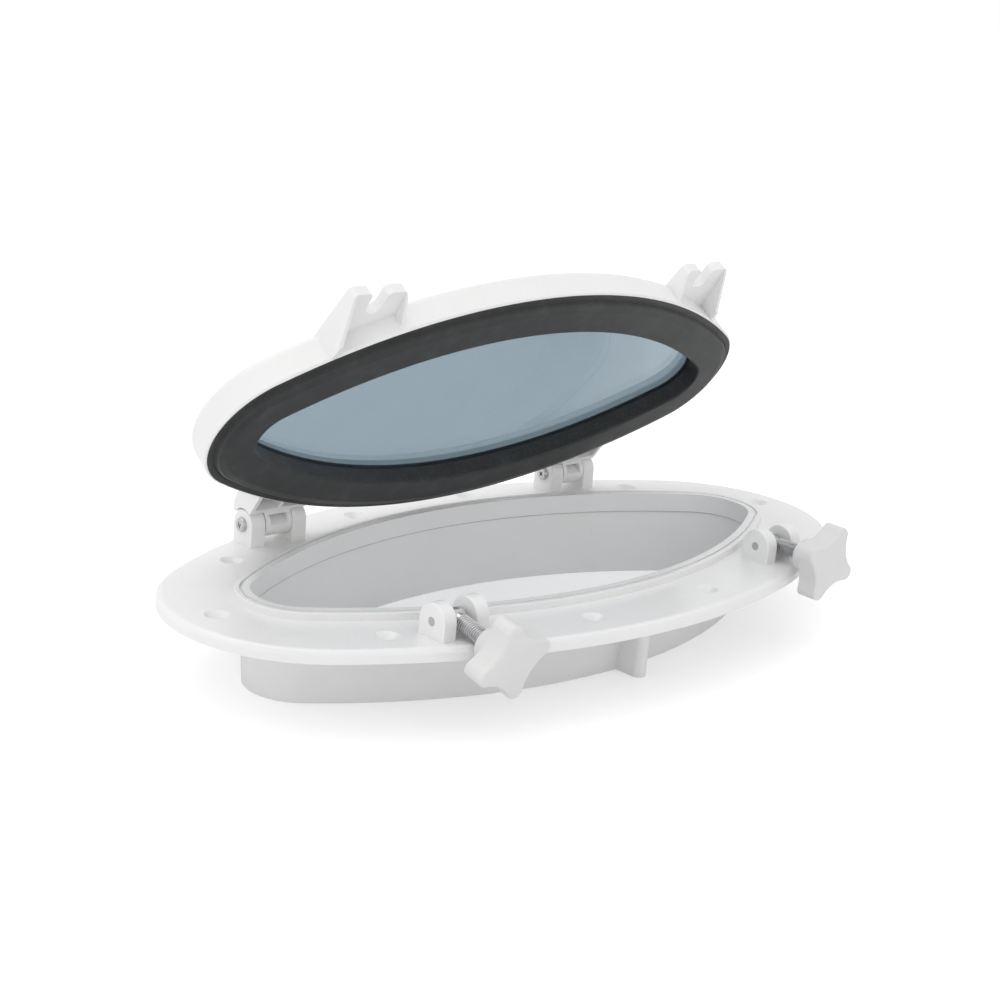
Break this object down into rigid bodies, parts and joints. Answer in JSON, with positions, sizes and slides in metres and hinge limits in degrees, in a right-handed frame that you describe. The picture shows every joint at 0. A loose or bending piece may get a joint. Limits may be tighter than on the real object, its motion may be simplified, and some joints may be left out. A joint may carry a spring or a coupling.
{
  "type": "deck hatch",
  "caption": "Oval opening hatch: white flanged frame with spigot, hinged tinted-glass lid with black seal, and swing dogs with star knobs that clamp the lid shut.",
  "frame": {"origin": "centre of the screw pattern on the flange's underside, the face that lies on the deck", "axes": "+X along the long axis, +Y towards the hinges, +Z out of the deck towards the lid"},
  "size_m": [0.4, 0.2184, 0.1797],
  "materials": {
    "white_abs": "moulded, semi-gloss",
    "white_knob": "moulded, satin",
    "white_acetal": "satin",
    "tinted_glass": "polished, blue-grey tint",
    "sealant": "matte",
    "black_rubber": "matte moulded",
    "stainless": "polished stainless",
    "brass": "turned"
  },
  "bodies": {
    "frame": {"main_frame": "white_abs", "hinge_barrel_left": "stainless", "hinge_screw_left_outer": "stainless", "hinge_screw_left_inner": "stainless", "swing_pin_left": "stainless", "hinge_barrel_right": "stainless", "hinge_screw_right_outer": "stainless", "hinge_screw_right_inner": "stainless", "swing_pin_right": "stainless"},
    "lid": {"lid_frame": "white_abs", "lid_glass": "tinted_glass", "glass_sealant": "sealant", "lid_gasket": "black_rubber"},
    "dog_left": {"swing_bolt_left": "stainless"},
    "washer_left": {"knob_washer_left": "white_acetal"},
    "knob_left": {"knob_left": "white_knob", "knob_insert_left": "brass"},
    "dog_right": {"swing_bolt_right": "stainless"},
    "washer_right": {"knob_washer_right": "white_acetal"},
    "knob_right": {"knob_right": "white_knob", "knob_insert_right": "brass"}
  },
  "joints": [
    {"name": "lid_hinge", "type": "hinge", "parent": "frame", "child": "lid", "pos_m": [0, 0.0739, 0.016], "axis": [-1, 0, 0], "range_deg": [-54.4, 50]},
    {"name": "dog_swing_left", "type": "hinge", "parent": "frame", "child": "dog_left", "pos_m": [-0.108, -0.0688, 0.0135], "axis": [-1, 0, 0], "range_deg": [0, 130]},
    {"name": "knob_travel_left", "type": "slide", "parent": "dog_left", "child": "washer_left", "axis": [0, -0.9781, -0.2079], "range_m": [0, 0.0025]},
    {"name": "knob_turn_left", "type": "hinge", "parent": "washer_left", "child": "knob_left", "pos_m": [-0.108, -0.09814, 0.00726], "axis": [0, -0.9781, -0.2079], "range_deg": [0, 730]},
    {"name": "dog_swing_right", "type": "hinge", "parent": "frame", "child": "dog_right", "pos_m": [0.108, -0.0688, 0.0135], "axis": [-1, 0, 0], "range_deg": [-4, 119]},
    {"name": "knob_travel_right", "type": "slide", "parent": "dog_right", "child": "washer_right", "axis": [0, -0.9998, -0.0175], "range_m": [0, 0.0025]},
    {"name": "knob_turn_right", "type": "hinge", "parent": "washer_right", "child": "knob_right", "pos_m": [0.108, -0.0988, 0.01298], "axis": [0, -0.9998, -0.0175], "range_deg": [0, 730]}
  ],
  "couplings": [
    {"joint": "knob_turn_left", "follows": "knob_travel_left", "rad_per_m": 5026.5},
    {"joint": "knob_turn_right", "follows": "knob_travel_right", "rad_per_m": 5026.5}
  ]
}
